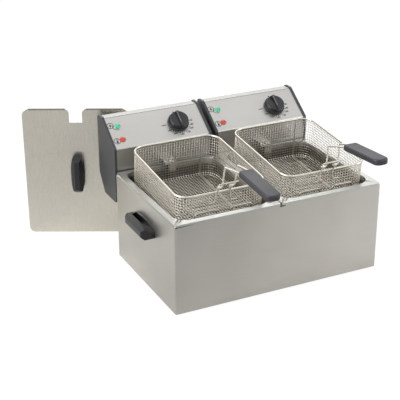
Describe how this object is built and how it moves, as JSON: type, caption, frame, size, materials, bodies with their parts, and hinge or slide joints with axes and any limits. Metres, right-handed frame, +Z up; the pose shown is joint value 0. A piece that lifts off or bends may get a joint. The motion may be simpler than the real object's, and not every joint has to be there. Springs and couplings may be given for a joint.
{
  "type": "countertop deep fryer",
  "caption": "Countertop electric deep fryer with lift-out oil tanks, lift-off sloping control heads with dials and lamps, raised wire baskets with folding grips, and a loose lid.",
  "frame": {"origin": "on the worktop, under the middle of the whole object's bounding box", "axes": "+Z up; -Y towards the front, where the basket grips point; +X to the right seen from the front"},
  "size_m": [0.7277, 0.7619, 0.373],
  "materials": {
    "stainless_casing": "brushed",
    "stainless_tank": "satin",
    "stainless_head": "brushed",
    "zinc_steel": "matt",
    "plated_wire": "semi-bright",
    "element_sheath": "heat-stained",
    "grey_plastic": "fine texture",
    "black_plastic": "satin",
    "grip_plastic": "fine texture",
    "rubber_black": "matt",
    "lamp_green": "clear tinted",
    "lamp_red": "clear tinted",
    "red_plastic": "gloss",
    "ceramic_white": "matt"
  },
  "bodies": {
    "casing": {"casing": "stainless_casing", "base_plate": "zinc_steel", "feet": "rubber_black", "foot_screws": "zinc_steel", "head_brackets": "zinc_steel", "side_handle_left": "black_plastic", "side_handle_right": "black_plastic", "side_handle_screws": "zinc_steel"},
    "lid": {"lid_plate": "stainless_casing", "lid_handle": "black_plastic", "lid_screws": "zinc_steel"},
    "left_tank": {"left_tank": "stainless_tank"},
    "left_head": {"left_head_cover": "stainless_head", "left_head_back": "zinc_steel", "left_head_cap_a": "grey_plastic", "left_head_cap_b": "grey_plastic", "left_head_screws": "zinc_steel", "left_thermostat": "zinc_steel", "left_power_lamp": "lamp_green", "left_heat_lamp": "lamp_red", "left_element": "element_sheath", "left_element_stem": "stainless_head", "left_element_brace": "zinc_steel", "left_sensor": "zinc_steel", "left_cutout": "black_plastic", "left_micro_switch": "black_plastic", "left_terminals": "ceramic_white", "left_cable_gland": "black_plastic"},
    "left_dial": {"left_knob": "black_plastic", "left_spindle": "zinc_steel"},
    "left_reset": {"left_reset_button": "red_plastic"},
    "left_basket": {"left_basket_mesh": "plated_wire", "left_basket_frame": "plated_wire"},
    "left_handle": {"left_handle_wires": "plated_wire", "left_grip": "grip_plastic"},
    "right_tank": {"right_tank": "stainless_tank"},
    "right_head": {"right_head_cover": "stainless_head", "right_head_back": "zinc_steel", "right_head_cap_a": "grey_plastic", "right_head_cap_b": "grey_plastic", "right_head_screws": "zinc_steel", "right_thermostat": "zinc_steel", "right_power_lamp": "lamp_green", "right_heat_lamp": "lamp_red", "right_element": "element_sheath", "right_element_stem": "stainless_head", "right_element_brace": "zinc_steel", "right_sensor": "zinc_steel", "right_cutout": "black_plastic", "right_micro_switch": "black_plastic", "right_terminals": "ceramic_white", "right_cable_gland": "black_plastic"},
    "right_dial": {"right_knob": "black_plastic", "right_spindle": "zinc_steel"},
    "right_reset": {"right_reset_button": "red_plastic"},
    "right_basket": {"right_basket_mesh": "plated_wire", "right_basket_frame": "plated_wire"},
    "right_handle": {"right_handle_wires": "plated_wire", "right_grip": "grip_plastic"}
  },
  "joints": [
    {"name": "lid_lift", "type": "slide", "parent": "casing", "child": "lid", "axis": [0, 0, 1], "range_m": [0, 0.15]},
    {"name": "left_tank_lift", "type": "slide", "parent": "casing", "child": "left_tank", "axis": [0, 0, 1], "range_m": [0, 0.2]},
    {"name": "left_head_lift", "type": "slide", "parent": "left_tank", "child": "left_head", "axis": [0, 0, 1], "range_m": [0, 0.2]},
    {"name": "left_basket_lift", "type": "slide", "parent": "left_head", "child": "left_basket", "axis": [0, 0, 1], "range_m": [0, 0.15]},
    {"name": "left_handle_fold", "type": "hinge", "parent": "left_basket", "child": "left_handle", "pos_m": [-0.071, -0.17556, 0.28849], "axis": [-1, 0, 0], "range_deg": [0, 120]},
    {"name": "left_dial_turn", "type": "hinge", "parent": "left_head", "child": "left_dial", "pos_m": [-0.017, 0.19254, 0.30982], "axis": [0, 0.5803, -0.8144], "range_deg": [0, 270]},
    {"name": "left_reset_press", "type": "slide", "parent": "left_head", "child": "left_reset", "axis": [0, -1, 0], "range_m": [0, 0.002], "stiffness_N_per_m": 400},
    {"name": "right_tank_lift", "type": "slide", "parent": "casing", "child": "right_tank", "axis": [0, 0, 1], "range_m": [0, 0.2]},
    {"name": "right_head_lift", "type": "slide", "parent": "right_tank", "child": "right_head", "axis": [0, 0, 1], "range_m": [0, 0.2]},
    {"name": "right_basket_lift", "type": "slide", "parent": "right_head", "child": "right_basket", "axis": [0, 0, 1], "range_m": [0, 0.15]},
    {"name": "right_handle_fold", "type": "hinge", "parent": "right_basket", "child": "right_handle", "pos_m": [0.199, -0.17556, 0.28849], "axis": [-1, 0, 0], "range_deg": [0, 120]},
    {"name": "right_dial_turn", "type": "hinge", "parent": "right_head", "child": "right_dial", "pos_m": [0.259, 0.19254, 0.30982], "axis": [0, 0.5803, -0.8144], "range_deg": [0, 270]},
    {"name": "right_reset_press", "type": "slide", "parent": "right_head", "child": "right_reset", "axis": [0, -1, 0], "range_m": [0, 0.002], "stiffness_N_per_m": 400}
  ]
}
